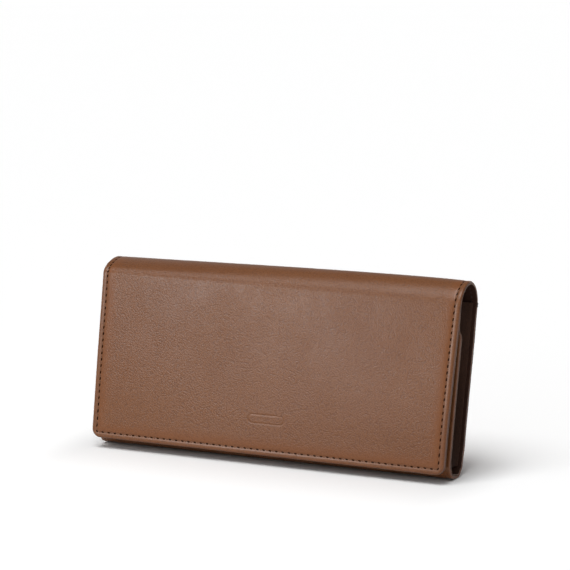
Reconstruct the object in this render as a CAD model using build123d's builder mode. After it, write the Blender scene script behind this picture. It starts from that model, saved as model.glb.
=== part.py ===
"""Long flap wallet: a stiffened leather flap that rolls over a gusseted body with a zip coin pocket."""

import os

from build123d import *

os.makedirs("parts", exist_ok=True)

# Frame: X runs along the wallet, the flap faces -Y, Z is up, and the base stands on Z = 0.

# Overall sizes, in millimetres
length = 190.0
height = 96.0
front_compartment = 4.5

# Sheet materials
leather = 1.2
lining = 0.5
wall_stiffener = 0.5
flap_stiffener = 1.3
gusset_leather = 0.5
pocket_leather = 0.7
card_leaf = 0.4
tape = 0.4
leaf_gap = 0.05
stiffener_inset = 1.5
edge_round = 0.35

# Flap
flap_lift = 3.5
flap_corner = 4.5
flap_gap = 4.3

# Roll of leather between the back and the flap: four folds, each on the roll's outer surface
fold_count = 4
joint_angle = 0.6
fold_angle = 180.0 / fold_count
web = 0.5

# Pocket body
base_corner = 5.0
front_drop = 11.0
front_corner = 6.0

# Card slots on the back wall
card_slots = 4
card_drop = 4.0
card_step = 11.0
card_margin = 13.0
card_bottom = 7.0

# Coin pocket in the middle of the body
coin_margin = 7.0
coin_bottom = 6.5
coin_drop = 2.4
coin_thickness = 3.8
coin_clearance = 2.2
coin_edge = 1.5

# Zip in the front wall of the coin pocket
zip_margin = 8.0
zip_drop = 6.0
tooth_pitch = 1.5
tooth_length = 0.9
tooth_height = 1.6
tooth_depth = 1.2
tooth_slot = 0.6
tape_overlap = 0.3
tape_width = 6.0
zip_window = 4.6
binding_cap = 1.0
stop_length = 1.6

# Zip slider and puller
slider_park = 6.0
slider_length = 9.0
slider_height = 6.6
slider_taper = 80.0
slider_plate = 0.7
slider_gap = 0.3
slider_post = 0.3
pin_radius = 0.8
pin_length = 1.3
pin_head_radius = 1.5
pin_head = 0.35
puller_clearance = 0.25
puller_width = 4.6
puller_length = 9.5
puller_thickness = 0.75
tab_length = 14.0
tab_thickness = 1.0

# Hidden magnetic closure
magnet_width = 22.0
magnet_height = 8.0
catch_width = 26.0
catch_height = 10.0
closure_height = 20.0
closure_clearance = 0.1

# Stitching
stitch_margin = 2.75
stitch_pitch = 3.42
stitch_length = 2.4
stitch_width = 0.55
stitch_sink = 0.3
groove_width = 0.8

# Debossed blank frame on the flap
frame_width = 20.0
frame_height = 5.0
frame_line = 0.6
frame_depth = 0.2

# Gusset folds, across the body's depth
gusset_flare = 1.5
gusset_reach = 10.0
gusset_bottom = 6.0
gusset_rise = 1.0
gusset_drop = 2.0
gusset_clearance = 0.15

# Places that follow from the sizes above
half_length = length / 2
flap_thickness = leather + flap_stiffener + lining
wall_thickness = leather + wall_stiffener + lining
card_stack = card_slots * (card_leaf + leaf_gap)
body_depth = 2 * wall_thickness + front_compartment + coin_thickness + coin_clearance + card_stack
depth = flap_thickness + flap_gap + body_depth
front_face = -depth / 2
back_face = depth / 2
roll_radius = depth / 2
roll_height = height - roll_radius
panel_face = front_face + flap_thickness + flap_gap
panel_inside = panel_face + wall_thickness
back_inside = back_face - wall_thickness
card_face = back_inside - card_stack
coin_back = card_face - coin_clearance
coin_front = coin_back - coin_thickness
tape_front = coin_front + pocket_leather
tooth_front = coin_front + (pocket_leather + tape - tooth_depth) / 2 + leaf_gap
front_top = roll_height - front_drop
card_top = roll_height - card_drop
card_width = length - 2 * card_margin
coin_top = roll_height - coin_drop
coin_width = length - 2 * coin_margin
zip_height = coin_top - zip_drop
zip_length = coin_width - 2 * zip_margin
slider_start = slider_park - zip_length / 2
gusset_back_top = roll_height + gusset_rise
gusset_front_top = front_top - gusset_drop


def finish(piece, label):
    """Label one finished piece and write it under the same name."""
    piece.part.label = label
    export_step(piece.part, f"parts/{label}.step")


def band(centre, outer_radius, inner_radius, start, span):
    """Face of a curved layer between two radii, in the open sketch."""
    with BuildLine() as outline:
        outer = CenterArc(centre, outer_radius, start, span)
        inner = CenterArc(centre, inner_radius, start, span)
        Line(outer @ 0, inner @ 0)
        Line(outer @ 1, inner @ 1)
    make_face(outline.edges())


def layer(low, high):
    """Rectangle between two (y, z) corners, in the open sketch."""
    with Locations(((low[0] + high[0]) / 2, (low[1] + high[1]) / 2)):
        Rectangle(high[0] - low[0], high[1] - low[1])


def slab(width, low, high):
    """Flat sheet of a given width along X between two (y, z) corners."""
    with BuildPart() as sheet:
        with BuildSketch(Plane.YZ):
            layer(low, high)
        extrude(amount=width / 2, both=True)
    return sheet


def slab_piece(label, width, low, high):
    """Write a flat sheet as a finished piece."""
    finish(slab(width, low, high), label)


def roll_band(outer_depth, inner_depth, start, span):
    """Curved layer of the roll between two depths below its outer surface."""
    band((0, roll_height), roll_radius - outer_depth, roll_radius - inner_depth, start, span)


def stitch_row(count, first, step, low, size):
    """Row of equal stitches as separate solids, starting at one place and going on by one step."""
    spots = [tuple(f + i * s for f, s in zip(first, step)) for i in range(count)]
    with Locations(*spots):
        Box(*size, align=(Align.CENTER, low, Align.CENTER))


def groove(size, place, low):
    """Shallow channel cut for a row of stitches."""
    with Locations(place):
        Box(*size, align=(Align.CENTER, low, Align.CENTER), mode=Mode.SUBTRACT)


# Rows of stitching on the outside
row_x = half_length - stitch_margin
row_z = flap_lift + stitch_margin
bottom_count = round(2 * row_x / stitch_pitch)
bottom_pitch = 2 * row_x / bottom_count
side_count = int((roll_height - row_z) / stitch_pitch)
lying = (stitch_length, stitch_sink, stitch_width)
standing = (stitch_width, stitch_sink, stitch_length)


# Flap
with BuildPart() as flap_leather:
    with BuildSketch(Plane.YZ):
        layer((front_face, flap_lift), (front_face + leather, roll_height))
        roll_band(0, leather, 180 - fold_angle / 2 + joint_angle, fold_angle / 2 - joint_angle)
    extrude(amount=half_length, both=True)
    fillet(flap_leather.edges().filter_by(Axis.Y).group_by(Axis.Z)[0], flap_corner)
    groove((2 * row_x, stitch_sink, groove_width), (0, front_face, row_z), Align.MIN)
    groove_height = roll_height - row_z
    for side in (-1, 1):
        groove_place = (side * row_x, front_face, row_z + groove_height / 2)
        groove((groove_width, stitch_sink, groove_height), groove_place, Align.MIN)
    with BuildSketch(Plane.XZ.offset(-front_face)):
        with Locations((0, closure_height)):
            SlotOverall(frame_width, frame_height)
            SlotOverall(frame_width - 2 * frame_line, frame_height - 2 * frame_line, mode=Mode.SUBTRACT)
    extrude(amount=-frame_depth, mode=Mode.SUBTRACT)
finish(flap_leather, "flap_leather")

with BuildPart() as flap_board:
    with BuildSketch(Plane.YZ):
        board_low = (front_face + leather, flap_lift + stiffener_inset)
        board_high = (front_face + leather + flap_stiffener, roll_height - web)
        layer(board_low, board_high)
    extrude(amount=half_length - stiffener_inset, both=True)
    fillet(flap_board.edges().filter_by(Axis.Y).group_by(Axis.Z)[0], flap_corner - stiffener_inset)
    with Locations((0, front_face + leather, closure_height)):
        magnet_seat = (
            magnet_width + 2 * closure_clearance,
            flap_stiffener,
            magnet_height + 2 * closure_clearance,
        )
        Box(*magnet_seat, align=(Align.CENTER, Align.MIN, Align.CENTER), mode=Mode.SUBTRACT)
finish(flap_board, "flap_stiffener")

with BuildPart() as flap_magnet:
    with Locations((0, front_face + leather, closure_height)):
        Box(magnet_width, flap_stiffener, magnet_height, align=(Align.CENTER, Align.MIN, Align.CENTER))
    fillet(flap_magnet.edges().filter_by(Axis.Y), edge_round)
finish(flap_magnet, "flap_magnet")

with BuildPart() as flap_lining:
    with BuildSketch(Plane.YZ):
        inner_face = front_face + flap_thickness
        layer((inner_face - lining, flap_lift), (inner_face, roll_height))
        layer((front_face + leather, roll_height - web), (inner_face, roll_height))
        flap_band_start = 180 - fold_angle / 2 + joint_angle
        roll_band(leather, leather + lining, flap_band_start, fold_angle / 2 - joint_angle)
    extrude(amount=half_length, both=True)
    fillet(flap_lining.edges().filter_by(Axis.Y).group_by(Axis.Z)[0], flap_corner)
finish(flap_lining, "flap_lining")

with BuildPart() as flap_stitching:
    bottom_first = (-row_x + bottom_pitch, front_face, row_z)
    stitch_row(bottom_count - 1, bottom_first, (bottom_pitch, 0, 0), Align.MIN, lying)
    for side in (-1, 1):
        side_first = (side * row_x, front_face, row_z + stitch_pitch)
        stitch_row(side_count - 1, side_first, (0, 0, stitch_pitch), Align.MIN, standing)
finish(flap_stitching, "flap_stitching")


# Roll: the leather and its lining in three strips between the back and the flap
for index, place in enumerate(("rear", "top", "front")):
    strip_start = fold_angle * (index + 0.5) + joint_angle
    strip_span = fold_angle - 2 * joint_angle
    with BuildPart() as roll_leather:
        with BuildSketch(Plane.YZ):
            roll_band(0, leather, strip_start, strip_span)
        extrude(amount=half_length, both=True)
    finish(roll_leather, f"roll_{place}_leather")
    with BuildPart() as roll_lining:
        with BuildSketch(Plane.YZ):
            roll_band(leather, leather + lining, strip_start, strip_span)
        extrude(amount=half_length, both=True)
    finish(roll_lining, f"roll_{place}_lining")


# Back wall
with BuildPart() as back_leather:
    with BuildSketch(Plane.YZ):
        layer((back_face - leather, base_corner), (back_face, roll_height))
        roll_band(0, leather, 0, fold_angle / 2 - joint_angle)
    extrude(amount=half_length, both=True)
    back_groove = roll_height - base_corner
    for side in (-1, 1):
        back_groove_place = (side * row_x, back_face, base_corner + back_groove / 2)
        groove((groove_width, stitch_sink, back_groove), back_groove_place, Align.MAX)
finish(back_leather, "back_leather")

with BuildPart() as back_lining:
    with BuildSketch(Plane.YZ):
        layer((back_inside, base_corner), (back_inside + lining, roll_height))
        layer((back_inside, roll_height - web), (back_face - leather, roll_height))
        roll_band(leather, leather + lining, 0, fold_angle / 2 - joint_angle)
    extrude(amount=half_length, both=True)
finish(back_lining, "back_lining")

slab_piece(
    "back_stiffener",
    length - 2 * stiffener_inset,
    (back_inside + lining, base_corner),
    (back_face - leather, roll_height - web),
)

back_count = int((roll_height - base_corner) / stitch_pitch)
with BuildPart() as back_stitching:
    for side in (-1, 1):
        back_first = (side * row_x, back_face, base_corner + stitch_pitch / 2)
        stitch_row(back_count, back_first, (0, 0, stitch_pitch), Align.MAX, standing)
finish(back_stitching, "back_stitching")


# Base: the leather turns under the body in two rounded corners with a flat between them
def base_layers(outer_depth, inner_depth):
    """Cross-section of one layer of the base between two depths below its outer surface."""
    outer = base_corner - outer_depth
    inner = base_corner - inner_depth
    band((panel_face + base_corner, base_corner), outer, inner, 180, 90)
    band((back_face - base_corner, base_corner), outer, inner, 270, 90)
    layer((panel_face + base_corner, outer_depth), (back_face - base_corner, inner_depth))


for label, outer_side, inner_side in (
    ("base_leather", 0, leather),
    ("base_lining", leather, wall_thickness),
):
    with BuildPart() as base:
        with BuildSketch(Plane.YZ):
            base_layers(outer_side, inner_side)
        extrude(amount=half_length, both=True)
    finish(base, label)


# Front pocket panel
def panel_sheet(near, far, width, top, corner):
    """Sheet of the front panel with its two top corners rounded."""
    with BuildPart() as sheet:
        with BuildSketch(Plane.YZ):
            layer((near, base_corner), (far, top))
        extrude(amount=width / 2, both=True)
        fillet(sheet.edges().filter_by(Axis.Y).group_by(Axis.Z)[-1], corner)
    return sheet


front_leather = panel_sheet(panel_face, panel_face + leather, length, front_top, front_corner)
with front_leather:
    front_groove = front_top - front_corner - base_corner
    for side in (-1, 1):
        front_groove_place = (side * row_x, panel_face, base_corner + front_groove / 2)
        groove((groove_width, stitch_sink, front_groove), front_groove_place, Align.MIN)
finish(front_leather, "front_leather")

front_board = panel_sheet(
    panel_face + leather,
    panel_inside - lining,
    length - 2 * stiffener_inset,
    front_top - stiffener_inset,
    front_corner - stiffener_inset,
)
with front_board:
    with Locations((0, panel_face + leather, closure_height)):
        catch_seat = (
            catch_width + 2 * closure_clearance,
            wall_stiffener,
            catch_height + 2 * closure_clearance,
        )
        Box(*catch_seat, align=(Align.CENTER, Align.MIN, Align.CENTER), mode=Mode.SUBTRACT)
finish(front_board, "front_stiffener")

front_lining = panel_sheet(panel_inside - lining, panel_inside, length, front_top, front_corner)
finish(front_lining, "front_lining")

with BuildPart() as catch_plate:
    with Locations((0, panel_face + leather, closure_height)):
        Box(catch_width, wall_stiffener, catch_height, align=(Align.CENTER, Align.MIN, Align.CENTER))
    fillet(catch_plate.edges().filter_by(Axis.Y), edge_round)
finish(catch_plate, "catch_plate")

front_count = int(front_groove / stitch_pitch)
with BuildPart() as front_stitching:
    for side in (-1, 1):
        front_first = (side * row_x, panel_face, base_corner + stitch_pitch / 2)
        stitch_row(front_count, front_first, (0, 0, stitch_pitch), Align.MIN, standing)
finish(front_stitching, "front_stitching")


# Card slots: leaves stepped down the back wall
for slot in range(card_slots):
    leaf_back = back_inside - leaf_gap - slot * (card_leaf + leaf_gap)
    leaf_top = card_top - slot * card_step
    slab_piece(
        f"card_slot_{slot + 1}",
        card_width,
        (leaf_back - card_leaf, card_bottom),
        (leaf_back, leaf_top),
    )


# Gussets: one folded strip at each end, in a W between the front panel and the back wall
wall_near = panel_inside + gusset_clearance + gusset_leather / 2
wall_far = back_inside - gusset_clearance - gusset_leather / 2
ridge_x = coin_width / 2 + gusset_flare
valley_x = half_length - gusset_flare - gusset_reach
ridge_front = coin_front - gusset_clearance - gusset_leather / 2
ridge_back = coin_back + gusset_clearance + gusset_leather / 2
with BuildPart() as gusset_right:
    with BuildSketch(Plane.XY.offset(gusset_bottom)):
        with BuildLine() as folds:
            Polyline(
                (half_length - gusset_flare, wall_far),
                (valley_x, (ridge_back + card_face) / 2),
                (ridge_x, ridge_back),
                (ridge_x, ridge_front),
                (valley_x, (ridge_front + wall_near) / 2),
                (half_length - gusset_flare, wall_near),
            )
        trace(folds.line, line_width=gusset_leather)
    extrude(amount=gusset_back_top)
    slope = Plane(
        origin=(0, back_inside, gusset_back_top),
        x_dir=(1, 0, 0),
        z_dir=(0, gusset_front_top - gusset_back_top, back_inside - panel_inside),
    )
    split(bisect_by=slope, keep=Keep.BOTTOM)
finish(gusset_right, "gusset_right")

with BuildPart() as gusset_left:
    mirror(gusset_right.part, about=Plane.YZ)
finish(gusset_left, "gusset_left")


# Coin pocket
window_bottom = zip_height - zip_window
window_top = coin_top - 2 * binding_cap
slab_piece(
    "coin_pocket_back",
    coin_width,
    (coin_back - pocket_leather, coin_bottom),
    (coin_back, coin_top - binding_cap),
)
slab_piece(
    "coin_pocket_front",
    coin_width,
    (coin_front, coin_bottom),
    (tape_front, window_bottom),
)

with BuildPart() as coin_edge_strip:
    with BuildSketch(Plane.XZ.offset(-tape_front)):
        with Locations((0, (coin_bottom + window_bottom - tape_width) / 2)):
            Rectangle(coin_width, window_bottom - tape_width - coin_bottom)
        with Locations((0, (coin_bottom + coin_edge + window_bottom) / 2)):
            inner_width = coin_width - 2 * coin_edge
            Rectangle(inner_width, window_bottom - coin_bottom - coin_edge, mode=Mode.SUBTRACT)
    extrude(amount=-(coin_thickness - 2 * pocket_leather))
finish(coin_edge_strip, "coin_pocket_seam")

with BuildPart() as coin_binding:
    with BuildSketch(Plane.YZ):
        layer((coin_front, coin_top - binding_cap), (coin_back, coin_top))
        layer((coin_front, window_top), (tape_front, coin_top - binding_cap))
    extrude(amount=coin_width / 2, both=True)
    fillet(coin_binding.edges().filter_by(Axis.X).group_by(Axis.Z)[-1], edge_round)
finish(coin_binding, "coin_pocket_binding")

tooth_reach = tooth_slot / 2 + tooth_height
slab_piece(
    "zip_tape_upper",
    coin_width - 2 * coin_edge,
    (tape_front, zip_height + tooth_reach),
    (tape_front + tape, coin_top - binding_cap),
)
slab_piece(
    "zip_tape_lower",
    coin_width - 2 * coin_edge,
    (tape_front, window_bottom - tape_width + coin_edge),
    (tape_front + tape, zip_height - tooth_reach),
)

tooth_count = int(zip_length / tooth_pitch)
row_middle = (tooth_slot + tooth_height) / 2
for label, side in (("zip_teeth_upper", 1), ("zip_teeth_lower", -1)):
    with BuildPart() as teeth:
        with Locations((side * tooth_pitch / 4, tooth_front, zip_height + side * row_middle)):
            with GridLocations(tooth_pitch, tooth_pitch, tooth_count, 1):
                tooth_align = (Align.CENTER, Align.MIN, Align.CENTER)
                Box(tooth_length, tooth_depth, tooth_height, align=tooth_align)
    finish(teeth, label)

with BuildPart() as zip_stops:
    stop_x = zip_length / 2 + stop_length
    stop_height = 2 * tooth_reach
    with Locations((-stop_x, tooth_front, zip_height), (stop_x, tooth_front, zip_height)):
        Box(stop_length, tooth_depth, stop_height, align=(Align.CENTER, Align.MIN, Align.CENTER))
    fillet(zip_stops.edges().filter_by(Axis.Y), edge_round)
finish(zip_stops, "zip_stops")


# Zip slider: two plates joined by a thin post that runs between the rows of teeth
front_plate = tooth_front - slider_gap
back_plate = tooth_front + tooth_depth + slider_gap
with BuildPart() as zip_slider:
    with BuildSketch(Plane.XZ.offset(-front_plate)):
        with Locations((slider_start, zip_height)):
            Trapezoid(slider_height, slider_length, slider_taper, rotation=-90)
    extrude(amount=slider_plate)
    with BuildSketch(Plane.XZ.offset(-back_plate)):
        with Locations((slider_start, zip_height)):
            Trapezoid(slider_height, slider_length, slider_taper, rotation=-90)
    extrude(amount=-slider_plate)
    with Locations((slider_start, front_plate, zip_height)):
        Box(
            slider_length / 2,
            back_plate - front_plate,
            slider_post,
            align=(Align.CENTER, Align.MIN, Align.CENTER),
        )
    pin_front = front_plate - slider_plate - pin_length
    with BuildSketch(Plane.XZ.offset(-pin_front)):
        with Locations((slider_start, zip_height)):
            Circle(pin_radius)
    extrude(amount=-pin_length)
    with BuildSketch(Plane.XZ.offset(-pin_front)):
        with Locations((slider_start, zip_height)):
            Circle(pin_head_radius)
    extrude(amount=pin_head)
finish(zip_slider, "zip_slider")

puller_back = front_plate - slider_plate - puller_clearance
with BuildPart() as zip_puller:
    with BuildSketch(Plane.XZ.offset(-puller_back)):
        with Locations((slider_start, zip_height - (puller_length - puller_width) / 2)):
            SlotOverall(puller_length, puller_width, rotation=90)
        with Locations((slider_start, zip_height)):
            Circle(pin_radius + puller_clearance, mode=Mode.SUBTRACT)
    extrude(amount=puller_thickness)
finish(zip_puller, "zip_puller")

with BuildPart() as puller_tab:
    tab_top = zip_height - puller_length + puller_width / 2
    with BuildSketch(Plane.XZ.offset(-puller_back - (tab_thickness - puller_thickness) / 2)):
        with Locations((slider_start, tab_top - tab_length / 2)):
            RectangleRounded(puller_width, tab_length, edge_round)
    extrude(amount=tab_thickness)
finish(puller_tab, "puller_tab")
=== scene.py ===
import math

import bmesh
import bpy
import numpy as np
from mathutils import Matrix, Vector


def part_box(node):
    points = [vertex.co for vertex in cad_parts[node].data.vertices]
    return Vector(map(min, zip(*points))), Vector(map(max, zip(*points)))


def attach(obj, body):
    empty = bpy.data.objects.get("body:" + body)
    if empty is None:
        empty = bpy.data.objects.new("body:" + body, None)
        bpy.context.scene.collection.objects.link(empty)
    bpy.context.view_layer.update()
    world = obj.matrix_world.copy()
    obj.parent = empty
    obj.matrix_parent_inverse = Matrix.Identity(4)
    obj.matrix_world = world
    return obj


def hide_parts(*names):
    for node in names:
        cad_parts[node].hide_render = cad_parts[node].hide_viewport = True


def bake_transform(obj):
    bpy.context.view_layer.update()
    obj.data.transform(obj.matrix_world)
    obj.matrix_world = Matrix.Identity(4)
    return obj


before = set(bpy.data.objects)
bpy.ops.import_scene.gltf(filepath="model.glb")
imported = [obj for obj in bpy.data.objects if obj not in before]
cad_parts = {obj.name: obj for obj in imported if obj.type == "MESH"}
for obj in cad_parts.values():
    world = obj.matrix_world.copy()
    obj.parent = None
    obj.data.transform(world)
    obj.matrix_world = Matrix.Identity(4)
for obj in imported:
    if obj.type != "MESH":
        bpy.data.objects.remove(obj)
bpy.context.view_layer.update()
mm = 0.001


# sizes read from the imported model
def lowOf(node):
    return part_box(node)[0]


def highOf(node):
    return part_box(node)[1]


halfLength = highOf("back_leather").x
frontFace = lowOf("flap_leather").y
backFace = highOf("back_leather").y
rollRadius = (backFace - frontFace) / 2
rollHeight = highOf("roll_top_leather").z - rollRadius
flapBottom = lowOf("flap_leather").z
flapInside = highOf("flap_lining").y
panelFace = lowOf("front_leather").y
panelInside = highOf("front_lining").y
panelTop = highOf("front_leather").z
backInside = lowOf("back_lining").y
baseCorner = highOf("base_leather").z
wallLeather = highOf("front_leather").y - panelFace
liningThick = highOf("front_lining").y - lowOf("front_lining").y
wallThick = panelInside - panelFace
flapThick = flapInside - frontFace
rollThick = wallLeather + liningThick

visibleLining = 0.8 * mm  # the lining with its turned edge, as it shows at the open ends

leatherWork = {
    "flapCorner": 4.5 * mm,
    "panelCorner": 6 * mm,
    "flapEdge": 0.95 * mm,  # rounding of the flap's outer edge
    "rollEdge": 0.55 * mm,
    "innerEdge": 0.22 * mm,
    "boardTaper": 9 * mm,  # length over which the boards thin out beside the roll
    "cornerFill": 1.0 * mm,  # extra thickness inside the two turns of the base
    "stitchMargin": 2.75 * mm,
    "stitchPitch": 3.42 * mm,
    "sidePitch": 3.2 * mm,
    "grooveWidth": 1.1 * mm,
    "grooveDepth": 0.24 * mm,
    "pillow": 0.28 * mm,  # how far the padded middle of the flap stands above its stitched border
    "pillowFrom": 2.4 * mm,
    "pillowRise": 5 * mm,
    "pillowPast": 9 * mm,  # how far past the start of the roll the padding ends
    "pillowTaper": 19 * mm,
}
blankFrame = {
    "height": 20 * mm, "length": 20 * mm, "width": 5 * mm, "line": 0.8 * mm, "depth": 0.13 * mm,
    "fineHalf": 11.5 * mm, "fineRise": 3.2 * mm, "fineStep": 0.22 * mm,  # the fine mesh under it
}
settle = {
    "lean": 5.6 * mm,  # how far the right end's top leans back at the front
    "backLean": 3.7 * mm,
    "panelLean": 2.5 * mm,
    "bulge": 1.7 * mm,  # how far the back swells out at the right end
    "leftLean": -0.9 * mm,
    "leanFrom": 20 * mm,
    "leanOver": 66 * mm,
    "leanPower": 1.6,
    "crown": 0.05,  # rise of the roll's middle, as a share of its height
    "endDrop": 0.05,
    "shoulderDrop": 0.07,
    "shoulderDepth": 9 * mm,
    "pressFrom": -9 * mm,  # depth at which the pressing of the roll is full
    "pressOver": 21 * mm,
    "rollFrom": 74 * mm,
    "rollOver": 9 * mm,
    "baseLift": 3.2 * mm,  # how far the bottom edges of the base are rounded up
    "baseRadius": 6.5 * mm,
    "baseUpTo": 12 * mm,
    "flapDrop": 0.9 * mm,
    "hemTop": 17 * mm,
    "hemOver": 6 * mm,
    "swellFoot": 16 * mm,
    "swellTop": 90 * mm,
    "swellOver": 22 * mm,
    "flat": 0.43,  # how much the front of the roll is pressed down at its left end
    "slump": 0.35 * mm,  # slow waves over the big faces
}


# the line that the outer leather follows, from the flap's lower edge to the front panel's top
def lineRun(start, end):
    start, end = np.array(start, float), np.array(end, float)
    span = float(np.linalg.norm(end - start))
    direction = (end - start) / span

    def at(s):
        return start + direction * s, np.array([-direction[1], direction[0]])

    return span, at


def arcRun(centre, radius, fromAngle, toAngle):
    centre = np.array(centre, float)
    span = radius * abs(toAngle - fromAngle)

    def at(s):
        angle = fromAngle + (toAngle - fromAngle) * s / span
        out = np.array([math.cos(angle), math.sin(angle)])
        return centre + radius * out, out

    return span, at


class Run:
    def __init__(self, *parts):
        self.parts = parts
        self.marks = [0.0]
        for span, _ in parts:
            self.marks.append(self.marks[-1] + span)

    def at(self, s):
        for (span, place), begin in zip(self.parts, self.marks):
            if s <= begin + span + 1e-9:
                return place(max(s - begin, 0.0))
        return self.parts[-1][1](s - self.marks[-2])


deg = math.radians
outerRun = Run(
    lineRun((frontFace, flapBottom), (frontFace, rollHeight)),
    arcRun((0, rollHeight), rollRadius, math.pi, 0),
    lineRun((backFace, rollHeight), (backFace, baseCorner)),
    arcRun((backFace - baseCorner, baseCorner), baseCorner, 0, -math.pi / 2),
    lineRun((backFace - baseCorner, 0), (panelFace + baseCorner, 0)),
    arcRun((panelFace + baseCorner, baseCorner), baseCorner, -math.pi / 2, -math.pi),
    lineRun((panelFace, baseCorner), (panelFace, panelTop)),
)
flapTopAt, rollEndAt, backEndAt, baseFlatAt, baseFlatEnd, panelStartAt, runEnd = outerRun.marks[1:]


# place along the run of an angle on the roll, 180 at the flap and 0 at the back
def rollAt(angle):
    return flapTopAt + rollRadius * deg(180 - angle)


def rollPoint(angle):
    place, _ = outerRun.at(rollAt(angle))
    return (0, place[0], place[1])


# the way the soft wallet settles: every leather piece goes through this once it is finished
def settled(points):
    x, y, z = np.array(points, float).T
    side = np.clip((x / halfLength + 1) / 2, -0.05, 1.05)  # 0 at the left end, 1 at the right end
    end = np.clip(side, 0, 1)
    inBody = np.clip((y - flapInside) / (0.4 * mm), 0, 1)
    depthShare = np.clip((y - frontFace) / (backFace - frontFace), 0, 1)

    # heights: the roll's crown, the rounded base, the hem
    across = np.clip((y - settle["pressFrom"]) / settle["pressOver"], 0, 1)
    press = settle["flat"] * (1 - across**1.3) * (1 - side)
    crown = settle["crown"] * np.sin(np.pi * end**1.25) - settle["endDrop"] * end**14
    crown = crown - settle["shoulderDrop"] * end**4 * np.clip(y / settle["shoulderDepth"], 0, 1)
    newZ = z + np.maximum(z - rollHeight, 0) * (crown - press)
    low = np.clip(1 - z / settle["baseUpTo"], 0, 1)
    inset = np.clip(np.minimum(y - panelFace, backFace - y) / settle["baseRadius"], 0, 1)
    newZ = newZ + settle["baseLift"] * (1 - inset) ** 1.7 * low * inBody
    hem = np.clip((settle["hemTop"] - z) / settle["hemOver"], 0, 1) * (1 - inBody)
    newZ = newZ - settle["flapDrop"] * (1 + 0.5 * side) * hem

    # depths: the lean, the swollen back, slow waves
    rollLean = settle["lean"] + (settle["backLean"] - settle["lean"]) * depthShare
    layers = [frontFace, flapInside, panelFace, backFace]
    bodyLean = np.interp(y, layers, [settle[k] for k in ("lean", "lean", "panelLean", "backLean")])
    inRoll = np.clip((z - settle["rollFrom"]) / settle["rollOver"], 0, 1)
    rightLean = bodyLean + (rollLean - bodyLean) * inRoll
    amount = settle["leftLean"] + (rightLean - settle["leftLean"]) * side
    height = np.clip((z - settle["leanFrom"]) / settle["leanOver"], 0, 1.12)
    newY = y + amount * height ** settle["leanPower"]
    swell = np.clip(z / settle["swellFoot"], 0.35, 1)
    swell = swell * np.clip((settle["swellTop"] - z) / settle["swellOver"], 0, 1)
    newY = newY + settle["bulge"] * swell * side * np.clip((depthShare - 0.4) / 0.6, 0, 1)
    belly = np.sin(np.pi * np.clip(z / rollHeight, 0, 1)) ** 2
    waves = np.sin(x * 19 + 0.9) + 0.6 * np.sin(x * 47 + 2.0 + z * 30)
    newY = newY + settle["slump"] * waves * belly
    return np.column_stack([x, newY, newZ])


softPieces = []


def linked(name, data):
    obj = bpy.data.objects.new(name, data)
    bpy.context.scene.collection.objects.link(obj)
    return obj


def newObject(name, points, faces, mat, smoothAngle=38, soft=True):
    mesh = bpy.data.meshes.new(name)
    mesh.from_pydata([tuple(q) for q in points], [], faces)
    bm = bmesh.new()
    bm.from_mesh(mesh)
    bmesh.ops.recalc_face_normals(bm, faces=bm.faces)
    bm.to_mesh(mesh)
    bm.free()
    obj = linked(name, mesh)
    mesh.materials.append(mat)
    mesh.shade_smooth()
    mesh.set_sharp_from_angle(angle=deg(smoothAngle))
    if soft:
        softPieces.append(obj)
    return obj


def fasten(piece, body, node):
    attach(piece, body)
    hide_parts(node)


def storeEdge(obj, values):
    attribute = obj.data.attributes.new("edge", "FLOAT", "POINT")
    attribute.data.foreach_set("value", np.array(values, np.float32))


# leather sheets
# distances from an edge, in mm, at which a sheet has points
edgeSteps = [0, 0.05, 0.13, 0.25, 0.42, 0.64, 0.92, 1.3, 1.7, 2.05, 2.3, 2.5, 2.65, 2.75, 2.85, 3.0, 3.2,
             3.5, 4.0, 4.8, 6.2, 8.5]


# depth lost to a rounded edge at a distance from it
def roundOff(edge, radius):
    if edge >= radius:
        return 0.0
    return radius - math.sqrt(max(radius**2 - (radius - max(edge, 0)) ** 2, 0))


# faces of two grids of points, one behind the other, closed round their rim
def shellFaces(rows, columns):
    half = rows * columns
    faces = []
    for i in range(rows - 1):
        for j in range(columns - 1):
            k = i * columns + j
            faces.append((k, k + 1, k + columns + 1, k + columns))
            faces.append((half + k + columns, half + k + columns + 1, half + k + 1, half + k))
    rim = [i * columns for i in range(rows)] + [(rows - 1) * columns + j for j in range(1, columns)]
    rim += [i * columns + columns - 1 for i in range(rows - 2, -1, -1)] + list(range(columns - 2, 0, -1))
    firstRim = len(faces)
    for i, k in enumerate(rim):
        after = rim[(i + 1) % len(rim)]
        faces.append((k, after, half + after, half + k))
    return faces, firstRim


# faces of a row of rings, closed at both ends
def tubeFaces(rings, sides):
    faces = []
    for k in range(rings - 1):
        for i in range(sides):
            j = (i + 1) % sides
            faces.append((k * sides + i, (k + 1) * sides + i, (k + 1) * sides + j, k * sides + j))
    faces.append(tuple(range(sides)))
    faces.append(tuple((rings - 1) * sides + i for i in reversed(range(sides))))
    return faces


def spread(low, high, step):
    count = max(1, int(round((high - low) / step)))
    return [low + (high - low) * i / count for i in range(count + 1)]


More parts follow.
